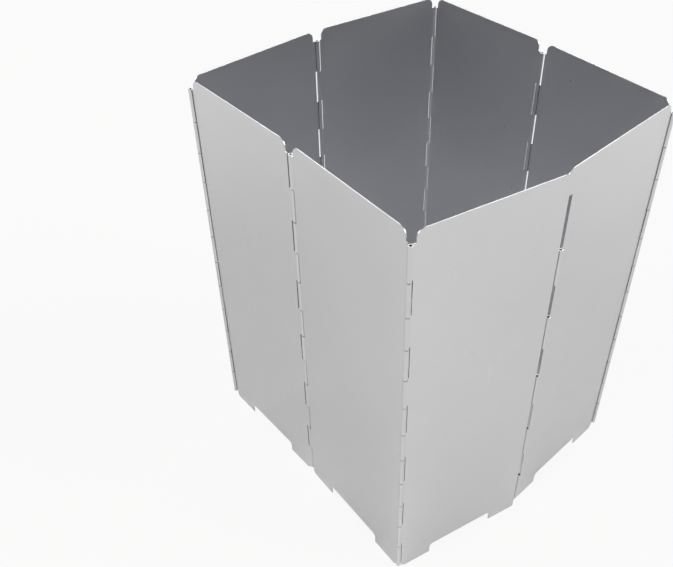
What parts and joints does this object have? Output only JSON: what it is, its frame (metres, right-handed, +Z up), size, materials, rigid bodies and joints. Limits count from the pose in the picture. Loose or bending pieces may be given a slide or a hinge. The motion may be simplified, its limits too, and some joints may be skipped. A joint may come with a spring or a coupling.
{
  "type": "stove windscreen",
  "caption": "Folding stove windscreen of thin aluminium plates on rolled hinges, standing as a square ring with air vents along the ground; it folds like a fan into a flat stack.",
  "frame": {"origin": "middle of the standing ring's outline, on the ground", "axes": "+Z up, +X along the front side that has the loose seam, +Y to the back side"},
  "size_m": [0.1734, 0.1856, 0.24],
  "materials": {
    "sheet": "satin, fine grain",
    "pin": "drawn wire"
  },
  "bodies": {
    "plate_1": {"panel_1": "sheet"},
    "plate_2": {"panel_2": "sheet", "hinge_pin_1": "pin"},
    "plate_3": {"panel_3": "sheet", "hinge_pin_2": "pin"},
    "plate_4": {"panel_4": "sheet", "hinge_pin_3": "pin"},
    "plate_5": {"panel_5": "sheet", "hinge_pin_4": "pin"},
    "plate_6": {"panel_6": "sheet", "hinge_pin_5": "pin"},
    "plate_7": {"panel_7": "sheet", "hinge_pin_6": "pin"},
    "plate_8": {"panel_8": "sheet", "hinge_pin_7": "pin"}
  },
  "joints": [
    {"name": "hinge_4", "type": "hinge", "parent": "plate_5", "child": "plate_4", "pos_m": [-0.00175, 0.09164, 0.12], "axis": [0, 0, -1], "range_deg": [0, 168.4]},
    {"name": "hinge_3", "type": "hinge", "parent": "plate_4", "child": "plate_3", "pos_m": [0.08205, 0.08584, 0.12], "axis": [0, 0, 1], "range_deg": [0, 260.2]},
    {"name": "hinge_2", "type": "hinge", "parent": "plate_3", "child": "plate_2", "pos_m": [0.08534, 0.0019, 0.12], "axis": [0, 0, -1], "range_deg": [0, 174.3]},
    {"name": "hinge_1", "type": "hinge", "parent": "plate_2", "child": "plate_1", "pos_m": [0.08555, -0.0821, 0.12], "axis": [0, 0, 1], "range_deg": [0, 260.57]},
    {"name": "hinge_5", "type": "hinge", "parent": "plate_5", "child": "plate_6", "pos_m": [-0.08555, 0.08571, 0.12], "axis": [0, 0, -1], "range_deg": [0, 266.21]},
    {"name": "hinge_6", "type": "hinge", "parent": "plate_6", "child": "plate_7", "pos_m": [-0.0799, 0.0019, 0.12], "axis": [0, 0, 1], "range_deg": [0, 180.4]},
    {"name": "hinge_7", "type": "hinge", "parent": "plate_7", "child": "plate_8", "pos_m": [-0.08011, -0.0821, 0.12], "axis": [0, 0, -1], "range_deg": [0, 259.41]}
  ],
  "couplings": [
    {"joint": "hinge_1", "follows": "hinge_4", "ratio": 1.5473},
    {"joint": "hinge_2", "follows": "hinge_4", "ratio": 1.035},
    {"joint": "hinge_3", "follows": "hinge_4", "ratio": 1.5451},
    {"joint": "hinge_5", "follows": "hinge_4", "ratio": 1.5808},
    {"joint": "hinge_6", "follows": "hinge_4", "ratio": 1.0713},
    {"joint": "hinge_7", "follows": "hinge_4", "ratio": 1.5404}
  ]
}
